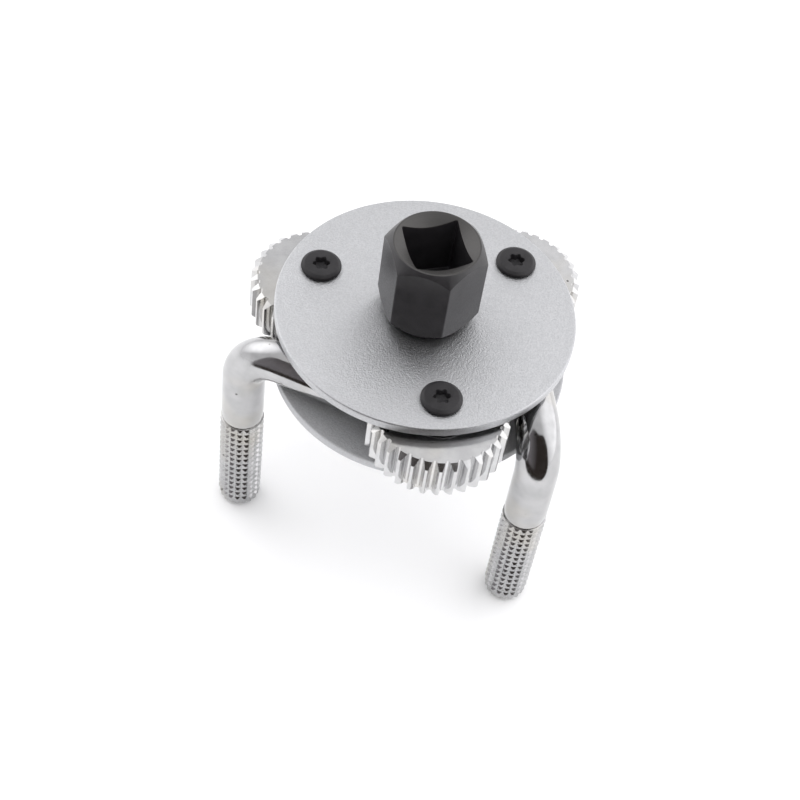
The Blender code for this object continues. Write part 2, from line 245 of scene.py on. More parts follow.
def shade_smooth(mesh, angle):
    mesh.shade_smooth()
    mesh.set_sharp_from_angle(angle=math.radians(angle))


def apply_modifiers(obj):
    bpy.context.view_layer.update()
    graph = bpy.context.evaluated_depsgraph_get()
    mesh = bpy.data.meshes.new_from_object(obj.evaluated_get(graph))
    obj.modifiers.clear()
    obj.data = mesh


def polar(radius, angle, height):
    return Vector((radius * math.cos(angle), radius * math.sin(angle), height))


def join_rings(work, here, there):
    """Faces between two closed rings with the same number of points."""
    count = len(here)
    for index in range(count):
        after = (index + 1) % count
        work.faces.new([here[index], here[after], there[after], there[index]])


def cap_ring(work, ring, centre):
    """A fan of triangles from a closed ring to its centre."""
    for index in range(len(ring)):
        work.faces.new([centre, ring[(index + 1) % len(ring)], ring[index]])


def rounded(corners, steps):
    """The profile through its corners, each a ((radius, height), rounding) pair.

    A corner with a rounding becomes a soft curve.
    """
    points = []
    last = len(corners) - 1
    for index, (corner, radius) in enumerate(corners):
        if radius == 0 or index in (0, last):
            points.append(corner)
            continue
        here = Vector(corner)
        before = Vector(corners[index - 1][0]) - here
        after = Vector(corners[index + 1][0]) - here
        half = before.angle(after) / 2
        longest = 0.45 * min(before.length, after.length)
        reach = min(radius / math.tan(half), longest)
        start = here + before.normalized() * reach
        end = here + after.normalized() * reach
        for step in range(steps + 1):
            t = step / steps
            blend = start * (1 - t) ** 2 + here * (2 * t * (1 - t)) + end * t**2
            points.append(tuple(blend))
    return points


def lathe(work, angles, profile_at):
    """A closed surface from a profile that may change with the angle.

    A profile that starts on the axis also ends on it. One that starts off the axis is closed into a ring.
    """
    rows = [profile_at(angle) for angle in angles]
    last = len(rows[0]) - 1
    columns = []
    poles = {}
    for angle, row in zip(angles, rows):
        column = []
        for index, (radius, height) in enumerate(row):
            if index not in (0, last) or radius > ON_AXIS:
                column.append(work.verts.new(polar(radius, angle, height)))
                continue
            if index not in poles:
                poles[index] = work.verts.new((0, 0, height))
            column.append(poles[index])
        columns.append(column)
    for here, there in zip(columns, columns[1:] + columns[:1]):
        for index in range(last):
            corners = [here[index], there[index], there[index + 1], here[index + 1]]
            work.faces.new(list(dict.fromkeys(corners)))
        if not poles:
            work.faces.new([here[-1], there[-1], there[0], here[0]])
    return work


def even_angles(count):
    return [math.tau * index / count for index in range(count)]


def clustered_angles(count, corners, spread):
    """Even angles plus closer ones round each corner angle, in order."""
    closest = 0.004
    angles = set(round(angle, 6) for angle in even_angles(count))
    for corner in corners:
        for offset in (-1, -0.6, -0.3, -0.12, 0, 0.12, 0.3, 0.6, 1):
            angles.add(round((corner + offset * spread) % math.tau, 6))
    kept = []
    for angle in sorted(angles):
        if not kept or angle - kept[-1] > closest:
            kept.append(angle)
    return kept


def polygon_radius(angle, sides, apothem, turn, corner_round):
    """The radius at this angle of a regular polygon with rounded corners. One flat's middle is at turn."""
    step = math.tau / sides
    offset = abs((angle - turn + step / 2) % step - step / 2)
    centre = (apothem - corner_round) / math.cos(step / 2)
    flat_end = math.atan2((apothem - corner_round) * math.tan(step / 2), apothem)
    if offset <= flat_end:
        return apothem / math.cos(offset)
    away = step / 2 - offset
    across = centre * math.sin(away)
    return centre * math.cos(away) + math.sqrt(max(corner_round**2 - across**2, 0))


# ---------------------------------------------------------------- drive head


def head_profile(angle):
    """From the socket's floor, up its wall, over the top, and down the hexagon and stem to the end."""
    square = polygon_radius(angle, 4, SQUARE / 2, SOCKET_TURN, SQUARE_CORNER)
    hexagon = polygon_radius(angle, 6, HEX_ACROSS_FLATS / 2, HEX_TURN + math.pi / 6, HEX_CORNER)
    stub = polygon_radius(angle, 4, STUB_SIDE / 2, SOCKET_TURN, STUB_CORNER)

    sharp = 0.02 * MM
    crisp = 0.05 * MM
    fine = 0.1 * MM
    lip = 0.12 * MM
    eased = 0.15 * MM
    round_end = 0.2 * MM

    mouth = HEAD_TOP - (COUNTERSINK_RADIUS - square) * math.tan(COUNTERSINK_SLOPE)
    top_edge = HEAD_TOP - (hexagon - HEX_TOP_RADIUS) * math.tan(HEX_TOP_SLOPE)
    base = HEAD_TOP - HEX_HEIGHT
    across_corners = HEX_ACROSS_FLATS / 2 / math.cos(math.pi / 6)
    base_slope = HEX_BASE_CHAMFER / (across_corners - HEX_BASE_RADIUS)
    base_edge = base + max(hexagon - HEX_BASE_RADIUS, sharp) * base_slope
    collar_end = TOP_PLATE[1].z + GAP
    stub_top = GEAR_TOP + GAP
    stub_end = GEAR_BOTTOM - GAP / 2
    groove_top = BOTTOM_PLATE[0].z - GAP / 2
    groove_end = groove_top - RING_THICKNESS - 2 * GAP
    corners = [
        ((0, 0), 0),
        ((square, 0), round_end),
        ((square, mouth), eased),
        ((COUNTERSINK_RADIUS, HEAD_TOP), lip),
        ((HEX_TOP_RADIUS, HEAD_TOP), lip),
        ((hexagon, top_edge), EDGE_ROUND),
        ((hexagon, base_edge), EDGE_ROUND),
        ((HEX_BASE_RADIUS, base), eased),
        ((COLLAR_RADIUS, base), fine),
        ((COLLAR_RADIUS, collar_end), fine),
        ((NECK_RADIUS, collar_end), fine),
        ((NECK_RADIUS, stub_top), fine),
        ((stub, stub_top), crisp),
        ((stub, stub_end), fine),
        ((JOURNAL_RADIUS, stub_end), sharp),
        ((JOURNAL_RADIUS, groove_top), sharp),
        ((RING_GROOVE_RADIUS, groove_top), crisp),
        ((RING_GROOVE_RADIUS, groove_end), crisp),
        ((JOURNAL_RADIUS, groove_end), sharp),
        ((JOURNAL_RADIUS, HEAD_BOTTOM), round_end),
        ((0, HEAD_BOTTOM), 0),
    ]
    return rounded(corners, steps=3)


def make_head():
    square_corners = [SOCKET_TURN + math.pi / 4 + math.pi / 2 * index for index in range(4)]
    hexagon_corners = [HEX_TURN + math.pi / 3 * index for index in range(6)]
    angles = clustered_angles(HEAD_SEGMENTS, square_corners + hexagon_corners, math.radians(4))
    work = lathe(bmesh.new(), angles, head_profile)
    return new_object("drive_head_forging", work, smooth_angle=38)


# ---------------------------------------------------------------- screws


def screw_profile(angle):
    """A pan head on z = 0, from the bottom of its six-lobe recess to the end of its shank."""
    lobe = LOBE_RADIUS + LOBE_DEPTH * (math.cos(6 * angle) - 1) / 2
    head = SCREW_HEAD_HEIGHT
    crown_drop = 0.06 * MM
    rim_slope = 0.05 * MM
    shank_end = -(PLATE_THICKNESS + SCREW_REACH)
    fine = 0.05 * MM
    crown_round = 0.4 * MM
    rim_round = 0.35 * MM
    seat_round = 0.12 * MM
    neck_round = 0.1 * MM
    end_round = 0.3 * MM
    corners = [
        ((0, head - RECESS_DEPTH - RECESS_DISH), 0),
        ((lobe * RECESS_TAPER, head - RECESS_DEPTH), fine),
        ((lobe, head - LOBE_BEVEL), fine),
        ((lobe + LOBE_BEVEL, head), fine),
        ((SCREW_HEAD_RADIUS - SCREW_CROWN, head - crown_drop), crown_round),
        ((SCREW_HEAD_RADIUS - rim_slope, head - SCREW_RIM), rim_round),
        ((SCREW_HEAD_RADIUS, 0), seat_round),
        ((SCREW_RADIUS, 0), neck_round),
        ((SCREW_RADIUS, shank_end), end_round),
        ((0, shank_end), 0),
    ]
    return rounded(corners, steps=3)


def make_screw(name):
    work = lathe(bmesh.new(), even_angles(SCREW_SEGMENTS), screw_profile)
    return new_object(name, work, smooth_angle=34)


# ---------------------------------------------------------------- plates


def drill_plate(plate, pivot, height):
    """Cuts one screw's hole through the plate."""
    work = bmesh.new()
    bmesh.ops.create_cone(
        work,
        cap_ends=True,
        segments=48,
        radius1=SCREW_HOLE,
        radius2=SCREW_HOLE,
        depth=2.5 * PLATE_THICKNESS,
        matrix=Matrix.Translation((pivot.x, pivot.y, height)),
    )
    drill = new_object("drill", work)
    cut = plate.modifiers.new("hole", "BOOLEAN")
    cut.object = drill
    cut.solver = "EXACT"
    apply_modifiers(plate)
    bpy.data.objects.remove(drill)


def make_plate(name, box, hole):
    """A blanked plate with softly rounded rims and its holes."""
    bottom, top = (corner.z for corner in box)
    middle = (top + bottom) / 2
    corners = [
        ((hole, middle), 0),
        ((hole, top), HOLE_EDGE),
        ((PLATE_RADIUS, top), PLATE_EDGE),
        ((PLATE_RADIUS, bottom), PLATE_EDGE),
        ((hole, bottom), HOLE_EDGE),
        ((hole, middle), 0),
    ]
    outline = rounded(corners, steps=5)[:-1]
    work = lathe(bmesh.new(), even_angles(PLATE_SEGMENTS), lambda angle: outline)
    plate = new_object(name, work)
    for pivot in PIVOTS.values():
        drill_plate(plate, pivot, middle)
    shade_smooth(plate.data, 35)
    return plate


# ---------------------------------------------------------------- jaw gears


def involute(angle):
    return math.tan(angle) - angle


def half_tooth_angle(radius):
    """Half the angle that a jaw gear's tooth fills at this radius, on a true involute flank."""
    pitch_radius = MODULE * JAW_TEETH / 2
    flank = math.acos(min(1.0, GEAR_BASE / radius))
    thick = math.pi / (2 * JAW_TEETH) + involute(PRESSURE_ANGLE) - involute(flank)
    return thick - FLANK_RELIEF / pitch_radius


def tooth_centres():
    """The teeth's angles in order round the gear, without those on the rod's side."""
    centres = []
    for index in range(JAW_TEETH):
        centre = math.tau * (index + 0.5) / JAW_TEETH
        from_arm = abs((centre - ARM_ANGLE + math.pi) % math.tau - math.pi)
        if from_arm >= BARE_HALF_ANGLE:
            centres.append(centre)
    return sorted(centres, key=lambda centre: (centre - ARM_ANGLE) % math.tau)


def wall_point(work, radius, angle):
    """A pair of points at the wall's upper and lower edge, which the chamfer brings closer on the teeth."""
    drop = max(radius - CHAMFER_START, 0) * math.tan(TOOTH_CHAMFER_SLOPE)
    upper = work.verts.new(polar(radius, angle, GEAR_TOP - drop))
    lower = work.verts.new(polar(radius, angle, GEAR_BOTTOM + drop))
    return upper, lower


def add_wall(work, pairs):
    """Upright faces from each pair of wall points to the next."""
    for here, there in zip(pairs, pairs[1:]):
        work.faces.new([here[0], there[0], there[1], here[1]])


def angle_of(pair):
    return math.atan2(pair[0].co.y, pair[0].co.x)


def add_tooth(work, centre):
    """One tooth's flanks, ends and tip. Returns the wall points along its foot."""
    fillet_end = GEAR_ROOT + ROOT_FILLET
    spans = [
        (GEAR_ROOT, half_tooth_angle(fillet_end) + ROOT_FILLET / GEAR_ROOT),
        (fillet_end, half_tooth_angle(fillet_end) + FILLET_FLARE / GEAR_ROOT),
    ]
    flank_start = GEAR_BASE + 0.1 * MM
    radii = [flank_start, CHAMFER_START]
    for share in (0.3, 0.55, 0.8, 1.0):
        radii.append(GEAR_BASE + (GEAR_OUTER - GEAR_BASE) * share)
    for radius in radii:
        spans.append((radius, half_tooth_angle(radius)))
    rungs = []
    for radius, half in spans:
        rung = []
        for step in range(TOOTH_STEPS + 1):
            angle = centre - half + 2 * half * step / TOOTH_STEPS
            rung.append(wall_point(work, radius, angle))
        rungs.append(rung)
    for inner, outer in zip(rungs, rungs[1:]):
        for step in range(TOOTH_STEPS):
            after = step + 1
            for end in (0, 1):
                work.faces.new([inner[step][end], inner[after][end], outer[after][end], outer[step][end]])
        add_wall(work, [inner[0], outer[0]])
        add_wall(work, [inner[-1], outer[-1]])
    add_wall(work, rungs[-1])
    return rungs[0]


def add_bare_side(work, start, end):
    """Wall points of the toothless side: round at the root, and cut flat where the rod enters."""
    flat_half = math.acos(GEAR_FLAT / GEAR_ROOT)
    to_flat = (ARM_ANGLE - flat_half - start) % math.tau
    from_flat = (end - ARM_ANGLE - flat_half) % math.tau
    pairs = []
    for step in range(1, BARE_STEPS + 1):
        pairs.append(wall_point(work, GEAR_ROOT, start + to_flat * step / BARE_STEPS))
    for step in range(1, FLAT_STEPS):
        offset = flat_half * (2 * step / FLAT_STEPS - 1)
        pairs.append(wall_point(work, GEAR_FLAT / math.cos(offset), ARM_ANGLE + offset))
    for step in range(BARE_STEPS):
        pairs.append(wall_point(work, GEAR_ROOT, ARM_ANGLE + flat_half + from_flat * step / BARE_STEPS))
    return pairs


def add_gear_ends(work, outline):
    """The gear's two end faces from its outline to its bore, and the bore with its eased edges."""
    profile = (
        (JAW_BORE + BORE_EDGE, GEAR_TOP),
        (JAW_BORE, GEAR_TOP - BORE_EDGE),
        (JAW_BORE, GEAR_BOTTOM + BORE_EDGE),
        (JAW_BORE + BORE_EDGE, GEAR_BOTTOM),
    )
    rings = []
    for radius, height in profile:
        rings.append([work.verts.new(polar(radius, angle_of(pair), height)) for pair in outline])
    join_rings(work, [pair[0] for pair in outline], rings[0])
    for upper, lower in zip(rings, rings[1:]):
        join_rings(work, upper, lower)
    join_rings(work, rings[-1], [pair[1] for pair in outline])


def make_jaw_gear(side):
    """A gear with involute teeth, filleted roots, and each tooth's ends turned down to a chamfer."""
    work = bmesh.new()
    centres = tooth_centres()
    feet = [add_tooth(work, centre) for centre in centres]
    outline = list(feet[0])
    for centre, foot in zip(centres, feet[1:]):
        gap_middle = wall_point(work, GEAR_ROOT, centre + math.pi / JAW_TEETH)
        add_wall(work, [outline[-1], gap_middle, foot[0]])
        outline.append(gap_middle)
        outline += foot
    bare = add_bare_side(work, angle_of(outline[-1]), angle_of(outline[0]))
    add_wall(work, [outline[-1], *bare, outline[0]])
    outline += bare
    add_gear_ends(work, outline)
    work.transform(at_pivot(side, 0))
    return new_object(f"jaw_gear_{side}_cut", work, smooth_angle=16)


def at_pivot(side, turn):
    """From a piece's own place to its pivot, turned from the outward direction there."""
    pivot = PIVOTS[side]
    outward = math.atan2(pivot.y, pivot.x)
    return Matrix.Translation((pivot.x, pivot.y, 0)) @ Matrix.Rotation(outward + turn, 4, "Z")


# ---------------------------------------------------------------- legs


def arm_centre_line(entry):
    """The rod's centre line beyond its entry, as (point, direction) pairs in its own upright plane."""
    bend_start = ARM_REACH - BEND_RADIUS
    bend_end = MID - BEND_RADIUS
    leg_end = KNURL_TOP + GROOVE_START
    line = []
    for share in (0.35, 0.7):
        line.append(((entry + (bend_start - entry) * share, MID), (1, 0)))
    for step in range(BEND_STEPS + 1):
        angle = math.pi / 2 * step / BEND_STEPS
        out = bend_start + BEND_RADIUS * math.sin(angle)
        height = bend_end + BEND_RADIUS * math.cos(angle)
        line.append(((out, height), (math.cos(angle), -math.sin(angle))))
    for share in (0.4, 0.8, 1.0):
        line.append(((ARM_REACH, bend_end + (leg_end - bend_end) * share), (0, -1)))
    return line


def rod_ring(work, centre, direction, radius):
    """A ring of points square to the rod's direction."""
    middle = Vector((centre[0], 0, centre[1]))
    sideways = Vector((0, 1, 0))
    upward = sideways.cross(Vector((direction[0], 0, direction[1])))
    ring = []
    for angle in even_angles(KNURL_COLUMNS * 4):
        offset = (upward * math.cos(angle) + sideways * math.sin(angle)) * radius
        ring.append(work.verts.new(middle + offset))
    return ring


def make_arm(side):
    """Spigot, rod and elbow as one tube, then a thin rolled groove and the knurled end, slightly proud."""
    entry = GEAR_FLAT + GAP
    spigot_end = GEAR_FLAT - SPIGOT_LENGTH
    along = (1, 0)
    down = (0, -1)
    stations = [
        ((spigot_end, MID), along, SPIGOT_RADIUS),
        ((entry, MID), along, SPIGOT_RADIUS),
        ((entry, MID), along, ROD_RADIUS - ROD_CHAMFER),
        ((entry + ROD_CHAMFER, MID), along, ROD_RADIUS),
    ]
    for centre, direction in arm_centre_line(entry):
        stations.append((centre, direction, ROD_RADIUS))
    stations += [
        ((ARM_REACH, KNURL_TOP + GROOVE_FLOOR[0]), down, ROD_RADIUS - ROLLED_GROOVE),
        ((ARM_REACH, KNURL_TOP + GROOVE_FLOOR[1]), down, ROD_RADIUS - ROLLED_GROOVE),
        ((ARM_REACH, KNURL_TOP), down, KNURL_RADIUS - KNURL_EDGE),
    ]
    work = bmesh.new()
    rings = [rod_ring(work, *station) for station in stations]
    for here, there in zip(rings, rings[1:]):
        join_rings(work, here, there)
    cap_ring(work, rings[0], work.verts.new((spigot_end, 0, MID)))
    add_knurl(work, rings[-1])
    work.transform(at_pivot(side, ARM_ANGLE))
    return new_object(f"jaw_arm_{side}_knurled", work, smooth_angle=24)


def knurl_surface(run):
    """The leg's radius, its height, and the pyramids' share of their full depth, this far down the knurl."""
    into_tip = run - (KNURL_LENGTH - TIP_ROUND)
    if into_tip <= 0:
        return KNURL_RADIUS, KNURL_TOP - run, 1.0
    share = into_tip / TIP_ROUND
    radius = KNURL_RADIUS - TIP_ROUND + TIP_ROUND * math.cos(share * TIP_ARC)
    height = LEG_TIP + TIP_ROUND - TIP_ROUND * math.sin(share * TIP_ARC)
    return radius, height, 1 - share**3


def add_knurl(work, top_ring):
    """Rows of raised, flat-topped pyramids between narrow grooves, down the leg and over its rounded tip."""
    segments = len(top_ring)
    row_height = (KNURL_LENGTH - 2 * KNURL_LEAD) / KNURL_ROWS
    foot = 0.5 - KNURL_GROOVE
    cuts = (-foot, -KNURL_FLAT, KNURL_FLAT, foot)
    middle = Vector((ARM_REACH, 0, 0))

    def sunk(across, along):
        """How far the surface lies below the pyramids' tops, at this place in a cell."""
        out = max(abs(across), abs(along)) - KNURL_FLAT
        return KNURL_DEPTH * out / (foot - KNURL_FLAT)

    grid = []
    for row in range(KNURL_ROWS):
        for along in cuts:
            run = KNURL_LEAD + (row + 0.5 + along) * row_height
            outer, height, strength = knurl_surface(run)
            ring = []
            for index in range(segments):
                across = cuts[index % 4]
                angle = math.pi - math.tau * (index // 4 + 0.5 + across) / KNURL_COLUMNS
                radius = outer - sunk(across, along) * strength
                ring.append(work.verts.new(middle + polar(radius, angle, height)))
            grid.append(ring)
    rows = [matched_ring(top_ring, grid[0])] + grid
    for level, (here, there) in enumerate(zip(rows, rows[1:])):
        down = (level - 1) % 4
        for index in range(segments):
            after = (index + 1) % segments
            column = index % 4
            a, b, c, d = here[index], here[after], there[after], there[index]
            if level == 0 or column % 2 or down % 2:
                work.faces.new([a, b, c, d])
            elif column == down:
                work.faces.new([a, b, c])
                work.faces.new([a, c, d])
            else:
                work.faces.new([a, b, d])
                work.faces.new([b, c, d])
    add_domed_tip(work, grid[-1], middle)


def matched_ring(ring, target):
    """The ring's points in the order of the target's, from the one nearest its first."""
    count = len(ring)
    start = min(range(count), key=lambda index: (ring[index].co - target[0].co).length)
    forward = [ring[(start + index) % count] for index in range(count)]
    backward = [ring[(start - index) % count] for index in range(count)]
    return min(forward, backward, key=lambda order: (order[1].co - target[1].co).length)


def add_domed_tip(work, rim, middle):
    """Closes the leg's end with a slight dome, in rings at shares of the rim's radius."""
    dome = ((0.75, 0.05 * MM), (0.4, 0.02 * MM))
    inner = rim
    for share, rise in dome:
        ring = []
        for vert in rim:
            flat = (vert.co - middle).xy * share
            ring.append(work.verts.new((middle.x + flat.x, flat.y, LEG_TIP + rise)))
        join_rings(work, inner, ring)
        inner = ring
    cap_ring(work, inner, work.verts.new((middle.x, 0, LEG_TIP)))


# ---------------------------------------------------------------- materials


class Tree:
    """The node tree of a material or of the world, with the few kinds of node that they are made of."""

    def __init__(self, owner):
        owner.use_nodes = True
        self.nodes = owner.node_tree.nodes
        self.links = owner.node_tree.links

    def feed(self, socket, given):
        """Links the socket to an output, or sets it to a plain value."""
        if isinstance(given, bpy.types.NodeSocket):
            self.links.new(given, socket)
        else:
            socket.default_value = given

    def calculate(self, operation, *values):
        node = self.nodes.new("ShaderNodeMath")
        node.operation = operation
        for socket, value in zip(node.inputs, values):
            self.feed(socket, value)
        return node.outputs["Value"]

    def remap(self, value, source, target):
        """The value moved from the source range to the target range, and held at their ends."""
        node = self.nodes.new("ShaderNodeMapRange")
        self.feed(node.inputs["Value"], value)
        self.feed(node.inputs["From Min"], source[0])
        self.feed(node.inputs["From Max"], source[1])
        self.feed(node.inputs["To Min"], target[0])
        self.feed(node.inputs["To Max"], target[1])
        return node.outputs["Result"]

    def axes(self, vector):
        """The vector's X, Y and Z outputs."""
        parts = self.nodes.new("ShaderNodeSeparateXYZ")
        self.feed(parts.inputs["Vector"], vector)
        return parts.outputs


class Finish(Tree):
    """A material round its Principled shader, in the object's own coordinates."""

    def __init__(self, name):
        self.material = bpy.data.materials.new(name)
        super().__init__(self.material)
        self.shader = self.nodes["Principled BSDF"]
        self.place = self.nodes.new("ShaderNodeTexCoord").outputs["Object"]

    def shade(self, name, given):
        """Sets or links one input of the shader."""
        self.feed(self.shader.inputs[name], given)

    def noise(self, scale, detail=3.0, roughness=0.5, place=None):
        texture = self.nodes.new("ShaderNodeTexNoise")
        self.feed(texture.inputs["Vector"], place or self.place)
        self.feed(texture.inputs["Scale"], scale)
        self.feed(texture.inputs["Detail"], detail)
        self.feed(texture.inputs["Roughness"], roughness)
        return texture.outputs["Fac"]

    def between(self, value, source, colours):
        """A blend from the first colour to the second as the value crosses the source range."""
        ramp = self.nodes.new("ShaderNodeValToRGB")
        self.feed(ramp.inputs["Fac"], value)
        for element, place, colour in zip(ramp.color_ramp.elements, source, colours):
            element.position = place
            element.color = (*colour, 1)
        return ramp.outputs["Color"]

    def mixed(self, share, base, colour):
        """The base where share is 0 and the plain colour where it is 1."""
        mix = self.nodes.new("ShaderNodeMix")
        mix.data_type = "RGBA"
        self.feed(mix.inputs["Factor"], share)
        self.feed(mix.inputs[MIX_BASE], base)
        self.feed(mix.inputs[MIX_OTHER], (*colour, 1))
        return mix.outputs[MIX_RESULT]

    def bump(self, height, distance, strength, under=None):
        node = self.nodes.new("ShaderNodeBump")
        self.feed(node.inputs["Height"], height)
        self.feed(node.inputs["Distance"], distance)
        self.feed(node.inputs["Strength"], strength)
        if under is not None:
            self.feed(node.inputs["Normal"], under)
        self.shade("Normal", node.outputs["Normal"])
        return node.outputs["Normal"]

    def pits(self, scale, share, size):
        """1 in sparse small spots and 0 elsewhere."""
        cells = self.nodes.new("ShaderNodeTexVoronoi")
        self.feed(cells.inputs["Vector"], self.place)
        self.feed(cells.inputs["Scale"], scale)
        chosen = self.nodes.new("ShaderNodeSeparateColor")
        self.feed(chosen.inputs["Color"], cells.outputs["Color"])
        picked = self.remap(chosen.outputs["Red"], (1 - share, 1 - share + 0.01), (0, 1))
        near = self.remap(cells.outputs["Distance"], (size, size * 0.5), (0, 1))
        return self.calculate("MULTIPLY", picked, near)


def blasted_plate(name, metallic, rough):
    """Zinc-plated steel with the fine grain that blasting leaves."""
    finish = Finish(name)
    grain = finish.noise(scale=2600, roughness=0.65)
    cloud = finish.noise(scale=120)
    finish.shade("Metallic", metallic)
    finish.shade("Base Color", finish.between(grain, (0.34, 0.66), PLATE_GREYS))
    finish.shade("Roughness", finish.remap(cloud, NOISE_RANGE, rough))
    finish.bump(grain, distance=0.14 * MM, strength=1.0)
    return finish.material


def chromed(name, shade, rough, wave, knurl_rough=0.0):
    """Bright chrome with soft ripples, a faint haze, warm stains and a few pits."""
    finish = Finish(name)
    ripple = finish.noise(scale=260, detail=2.0)
    haze = finish.noise(scale=900, detail=4.0, roughness=0.6)
    stain = finish.noise(scale=75, detail=2.0)
    dull = (shade, shade, shade + 0.005)
    bright = (shade + 0.07, shade + 0.07, shade + 0.075)
    warm = (shade + 0.07, shade + 0.045, shade - 0.01)
    base = finish.between(ripple, (0.35, 0.65), (dull, bright))
    stained = finish.mixed(finish.remap(stain, (0.5, 0.72), (0, 0.6)), base, warm)
    pitted = finish.mixed(finish.pits(scale=420, share=0.14, size=0.16), stained, PIT_BROWN)
    finish.shade("Metallic", 1.0)
    finish.shade("Base Color", pitted)
    roughness = finish.remap(haze, (0.3, 0.75), rough)
    if knurl_rough:
        height = finish.axes(finish.place)["Z"]
        below = finish.remap(height, (KNURL_TOP + 0.3 * MM, KNURL_TOP), (0, knurl_rough))
        roughness = finish.calculate("ADD", roughness, below)
    finish.shade("Roughness", roughness)
    rippled = finish.bump(ripple, distance=wave, strength=0.5)
    finish.bump(haze, distance=0.012 * MM, strength=0.5, under=rippled)
    return finish.material


def machined_mouth(finish):
    """The share of bare turned steel: up to 1 on the socket's countersink, and 0 elsewhere."""
    parts = finish.axes(finish.place)
    flat = finish.nodes.new("ShaderNodeCombineXYZ")
    finish.feed(flat.inputs["X"], parts["X"])
    finish.feed(flat.inputs["Y"], parts["Y"])
    length = finish.nodes.new("ShaderNodeVectorMath")
    length.operation = "LENGTH"
    finish.feed(length.inputs[0], flat.outputs["Vector"])
    radius = length.outputs["Value"]
    inner = COUNTERSINK_RADIUS - 4 * MM
    outer = COUNTERSINK_RADIUS + 0.25 * MM
    rise = math.tan(COUNTERSINK_SLOPE)
    cone_low = HEAD_TOP - (COUNTERSINK_RADIUS - inner) * rise
    cone_high = HEAD_TOP + (outer - COUNTERSINK_RADIUS) * rise
    cone = finish.remap(radius, (inner, outer), (cone_low, cone_high))
    distance = finish.calculate("ABSOLUTE", finish.calculate("SUBTRACT", parts["Z"], cone))
    edge_fade = (0.2 * MM, 0.08 * MM)
    on_cone = finish.remap(distance, edge_fade, (0, 1))
    rings = finish.nodes.new("ShaderNodeCombineXYZ")
    finish.feed(rings.inputs["X"], radius)
    ring_noise = finish.noise(scale=5200, roughness=0.6, place=rings.outputs["Vector"])
    scratches = finish.remap(ring_noise, NOISE_RANGE, (0.45, 1))
    return finish.calculate("MULTIPLY", on_cone, scratches)


def black_oxide(name, rough, specular, machined=False):
    """Matte black conversion coat on steel. The drive head's countersink shows paler turned steel."""
    finish = Finish(name)
    grain = finish.noise(scale=2600, detail=4.0, roughness=0.6)
    cloud = finish.noise(scale=300)
    base = finish.between(cloud, NOISE_RANGE, OXIDE_BLACKS)
    if machined:
        mouth = machined_mouth(finish)
        base = finish.mixed(mouth, base, MACHINED_GREY)
        finish.shade("Metallic", finish.remap(mouth, (0, 1), (0, 0.7)))
    finish.shade("Base Color", base)
    finish.shade("Roughness", finish.remap(grain, NOISE_RANGE, rough))
    finish.shade("Specular IOR Level", specular)
    finish.bump(grain, distance=0.03 * MM, strength=0.7)
    return finish.material


def turned_steel():
    """Plain turned steel, for the posts, washers, sun gear and retaining ring."""
    finish = Finish("turned_steel")
    grain = finish.noise(scale=1500)
    finish.shade("Metallic", 1.0)
    finish.shade("Base Color", finish.between(grain, NOISE_RANGE, STEEL_GREYS))
    finish.shade("Roughness", finish.remap(grain, NOISE_RANGE, (0.28, 0.4)))
    finish.bump(grain, distance=0.01 * MM, strength=0.4)
    return finish.material


def pale_floor():
    finish = Finish("pale_floor")
    cloud = finish.noise(scale=4, detail=2.0)
    finish.shade("Base Color", finish.between(cloud, NOISE_RANGE, FLOOR_WHITES))
    finish.shade("Roughness", 0.9)
    finish.shade("Specular IOR Level", 0.0)
    return finish.material


def black_cloth():
    """Cloth that is greyer at the flag's left."""
    finish = Finish("black_cloth")
    grading = (-0.75 * FLAG_DISTANCE, -0.3 * FLAG_DISTANCE)
    rightward = finish.remap(finish.axes(finish.place)["X"], grading, (0, 1))
    finish.shade("Base Color", finish.between(rightward, (0, 1), CLOTH_GREYS))
    finish.shade("Roughness", 0.9)
    finish.shade("Specular IOR Level", 0.0)
    return finish.material


def paint(obj, material):
    obj.data.materials.clear()
    obj.data.materials.append(material)


# ---------------------------------------------------------------- studio


def make_floor(height):
    work = bmesh.new()
    bmesh.ops.create_grid(work, x_segments=2, y_segments=2, size=FLOOR_HALF)
    bmesh.ops.translate(work, verts=work.verts, vec=(0, 0, height))
    floor = new_object("studio_floor", work)
    paint(floor, pale_floor())


def direction_at(azimuth, elevation):
    return polar(math.cos(elevation), azimuth, math.sin(elevation))


def make_flag(floor_height):
    """A curved black card on the camera's side that lies down onto the floor. Only reflections show it."""
    work = bmesh.new()
    middle = Vector((0, 0, MID))
    above_floor = MID - floor_height - FLAG_CLEARANCE

    def card_point(azimuth, elevation):
        distance = FLAG_DISTANCE
        if elevation < 0:
            distance = min(distance, above_floor / math.sin(-elevation))
        return work.verts.new(middle + direction_at(azimuth, elevation) * distance)

    rings = []
    for step in range(1, FLAG_RINGS + 1):
        ring = []
        for angle in even_angles(FLAG_SPOKES):
            squared = (math.cos(angle) ** 4 + math.sin(angle) ** 4) ** 0.25
            out = step / FLAG_RINGS / squared
            azimuth = FLAG_MIDDLE[0] + FLAG_HALF[0] * out * math.cos(angle)
            elevation = FLAG_MIDDLE[1] + FLAG_HALF[1] * out * math.sin(angle)
            ring.append(card_point(azimuth, elevation))
        rings.append(ring)
    cap_ring(work, rings[0], card_point(*FLAG_MIDDLE))
    for inner, outer in zip(rings, rings[1:]):
        join_rings(work, inner, outer)
    flag = new_object("studio_flag", work)
    paint(flag, black_cloth())
    flag.visible_camera = False
    flag.visible_diffuse = False
    flag.visible_shadow = False


